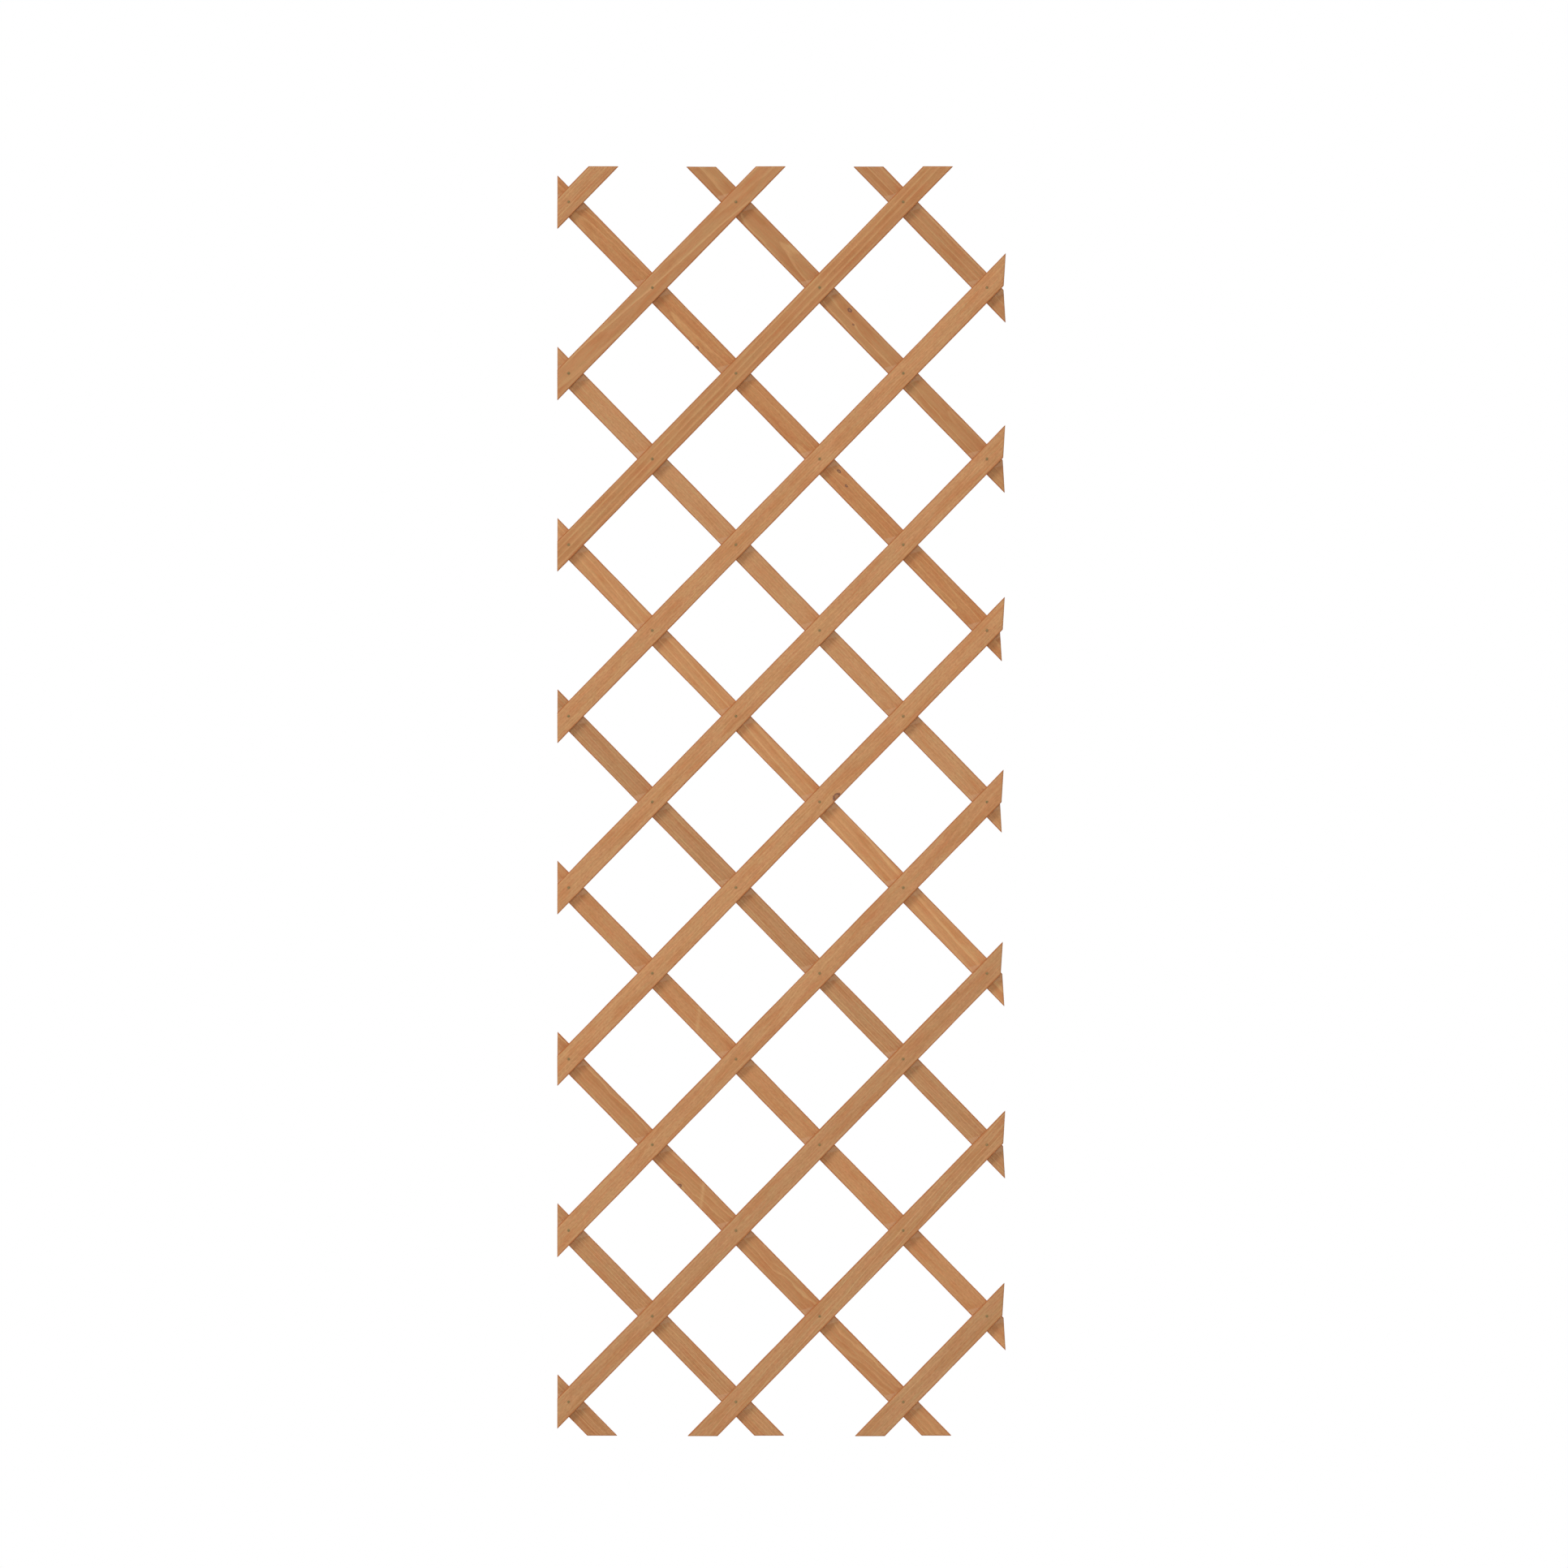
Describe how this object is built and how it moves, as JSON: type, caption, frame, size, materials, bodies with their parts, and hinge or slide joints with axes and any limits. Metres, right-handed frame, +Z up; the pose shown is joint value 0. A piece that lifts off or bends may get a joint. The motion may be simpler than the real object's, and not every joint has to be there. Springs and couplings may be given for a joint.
{
  "type": "expanding trellis panel",
  "caption": "Expanding lattice panel of flat wooden slats in two crossed layers, riveted at each crossing so that it draws out or folds shut, for training climbing plants up a wall.",
  "frame": {"origin": "middle of the outline, on the plane where the two layers of slats slide on each other", "axes": "+X to the right seen from the front, +Y back towards the wall, +Z up the panel's height"},
  "size_m": [0.629, 0.0166, 1.7814],
  "materials": {
    "front_wood": "matte",
    "rear_wood": "matte",
    "rivet_metal": "satin"
  },
  "bodies": {
    "centre_pivot": {"centre_rivet": "rivet_metal"},
    "front_slat_01": {"front_slat_01": "front_wood", "rivets_front_01": "rivet_metal"},
    "front_slat_02": {"front_slat_02": "front_wood", "rivets_front_02": "rivet_metal"},
    "front_slat_03": {"front_slat_03": "front_wood", "rivets_front_03": "rivet_metal"},
    "front_slat_04": {"front_slat_04": "front_wood", "rivets_front_04": "rivet_metal"},
    "front_slat_05": {"front_slat_05": "front_wood", "rivets_front_05": "rivet_metal"},
    "front_slat_06": {"front_slat_06": "front_wood", "rivets_front_06": "rivet_metal"},
    "front_slat_07": {"front_slat_07": "front_wood", "rivets_front_07": "rivet_metal"},
    "front_slat_08": {"front_slat_08": "front_wood", "rivets_front_08": "rivet_metal"},
    "front_slat_09": {"front_slat_09": "front_wood", "rivets_front_09": "rivet_metal"},
    "front_slat_10": {"front_slat_10": "front_wood", "rivets_front_10": "rivet_metal"},
    "rear_slat_01": {"rear_slat_01": "rear_wood"},
    "rear_slat_02": {"rear_slat_02": "rear_wood"},
    "rear_slat_03": {"rear_slat_03": "rear_wood"},
    "rear_slat_04": {"rear_slat_04": "rear_wood"},
    "rear_slat_05": {"rear_slat_05": "rear_wood"},
    "rear_slat_06": {"rear_slat_06": "rear_wood"},
    "rear_slat_07": {"rear_slat_07": "rear_wood"},
    "rear_slat_08": {"rear_slat_08": "rear_wood"},
    "rear_slat_09": {"rear_slat_09": "rear_wood"},
    "rear_slat_10": {"rear_slat_10": "rear_wood"}
  },
  "joints": [
    {"name": "fold", "type": "hinge", "parent": "centre_pivot", "child": "front_slat_06", "pos_m": [0.05417, 0, -0.001], "axis": [0, 1, 0], "range_deg": [-38.9, 40.3]},
    {"name": "rear_05_pivot", "type": "hinge", "parent": "centre_pivot", "child": "rear_slat_05", "pos_m": [0.05417, 0, -0.001], "axis": [0, 1, 0], "range_deg": [-40.3, 38.9]},
    {"name": "front_03_pivot", "type": "hinge", "parent": "rear_slat_05", "child": "front_slat_03", "pos_m": [-0.29783, 0, 0.35971], "axis": [0, 1, 0], "range_deg": [-77.8, 80.6]},
    {"name": "front_04_pivot", "type": "hinge", "parent": "rear_slat_05", "child": "front_slat_04", "pos_m": [-0.1805, 0, 0.23947], "axis": [0, 1, 0], "range_deg": [-77.8, 80.6]},
    {"name": "front_05_pivot", "type": "hinge", "parent": "rear_slat_05", "child": "front_slat_05", "pos_m": [-0.06317, 0, 0.11924], "axis": [0, 1, 0], "range_deg": [-77.8, 80.6]},
    {"name": "front_07_pivot", "type": "hinge", "parent": "rear_slat_05", "child": "front_slat_07", "pos_m": [0.1715, 0, -0.12124], "axis": [0, 1, 0], "range_deg": [-77.8, 80.6]},
    {"name": "front_08_pivot", "type": "hinge", "parent": "rear_slat_05", "child": "front_slat_08", "pos_m": [0.28883, 0, -0.24147], "axis": [0, 1, 0], "range_deg": [-77.8, 80.6]},
    {"name": "rear_08_pivot", "type": "hinge", "parent": "front_slat_06", "child": "rear_slat_08", "pos_m": [-0.29783, 0, -0.36171], "axis": [0, 1, 0], "range_deg": [-80.6, 77.8]},
    {"name": "rear_07_pivot", "type": "hinge", "parent": "front_slat_06", "child": "rear_slat_07", "pos_m": [-0.1805, 0, -0.24147], "axis": [0, 1, 0], "range_deg": [-80.6, 77.8]},
    {"name": "rear_06_pivot", "type": "hinge", "parent": "front_slat_06", "child": "rear_slat_06", "pos_m": [-0.06317, 0, -0.12124], "axis": [0, 1, 0], "range_deg": [-80.6, 77.8]},
    {"name": "rear_04_pivot", "type": "hinge", "parent": "front_slat_06", "child": "rear_slat_04", "pos_m": [0.1715, 0, 0.11924], "axis": [0, 1, 0], "range_deg": [-80.6, 77.8]},
    {"name": "rear_03_pivot", "type": "hinge", "parent": "front_slat_06", "child": "rear_slat_03", "pos_m": [0.28883, 0, 0.23947], "axis": [0, 1, 0], "range_deg": [-80.6, 77.8]},
    {"name": "front_01_pivot", "type": "hinge", "parent": "rear_slat_03", "child": "front_slat_01", "pos_m": [-0.29783, 0, 0.84066], "axis": [0, 1, 0], "range_deg": [-77.8, 80.6]},
    {"name": "front_02_pivot", "type": "hinge", "parent": "rear_slat_03", "child": "front_slat_02", "pos_m": [-0.1805, 0, 0.72042], "axis": [0, 1, 0], "range_deg": [-77.8, 80.6]},
    {"name": "front_09_pivot", "type": "hinge", "parent": "rear_slat_07", "child": "front_slat_09", "pos_m": [0.1715, 0, -0.60218], "axis": [0, 1, 0], "range_deg": [-77.8, 80.6]},
    {"name": "front_10_pivot", "type": "hinge", "parent": "rear_slat_08", "child": "front_slat_10", "pos_m": [0.1715, 0, -0.84266], "axis": [0, 1, 0], "range_deg": [-77.8, 80.6]},
    {"name": "rear_02_pivot", "type": "hinge", "parent": "front_slat_04", "child": "rear_slat_02", "pos_m": [0.1715, 0, 0.60018], "axis": [0, 1, 0], "range_deg": [-80.6, 77.8]},
    {"name": "rear_01_pivot", "type": "hinge", "parent": "front_slat_03", "child": "rear_slat_01", "pos_m": [0.1715, 0, 0.84066], "axis": [0, 1, 0], "range_deg": [-80.6, 77.8]},
    {"name": "rear_09_pivot", "type": "hinge", "parent": "front_slat_08", "child": "rear_slat_09", "pos_m": [-0.1805, 0, -0.72242], "axis": [0, 1, 0], "range_deg": [-80.6, 77.8]},
    {"name": "rear_10_pivot", "type": "hinge", "parent": "front_slat_08", "child": "rear_slat_10", "pos_m": [-0.29783, 0, -0.84266], "axis": [0, 1, 0], "range_deg": [-80.6, 77.8]}
  ],
  "couplings": [
    {"joint": "rear_05_pivot", "follows": "fold", "ratio": -1},
    {"joint": "front_03_pivot", "follows": "fold", "ratio": 2},
    {"joint": "front_04_pivot", "follows": "fold", "ratio": 2},
    {"joint": "front_05_pivot", "follows": "fold", "ratio": 2},
    {"joint": "front_07_pivot", "follows": "fold", "ratio": 2},
    {"joint": "front_08_pivot", "follows": "fold", "ratio": 2},
    {"joint": "rear_08_pivot", "follows": "fold", "ratio": -2},
    {"joint": "rear_07_pivot", "follows": "fold", "ratio": -2},
    {"joint": "rear_06_pivot", "follows": "fold", "ratio": -2},
    {"joint": "rear_04_pivot", "follows": "fold", "ratio": -2},
    {"joint": "rear_03_pivot", "follows": "fold", "ratio": -2},
    {"joint": "front_01_pivot", "follows": "fold", "ratio": 2},
    {"joint": "front_02_pivot", "follows": "fold", "ratio": 2},
    {"joint": "front_09_pivot", "follows": "fold", "ratio": 2},
    {"joint": "front_10_pivot", "follows": "fold", "ratio": 2},
    {"joint": "rear_02_pivot", "follows": "fold", "ratio": -2},
    {"joint": "rear_01_pivot", "follows": "fold", "ratio": -2},
    {"joint": "rear_09_pivot", "follows": "fold", "ratio": -2},
    {"joint": "rear_10_pivot", "follows": "fold", "ratio": -2}
  ]
}
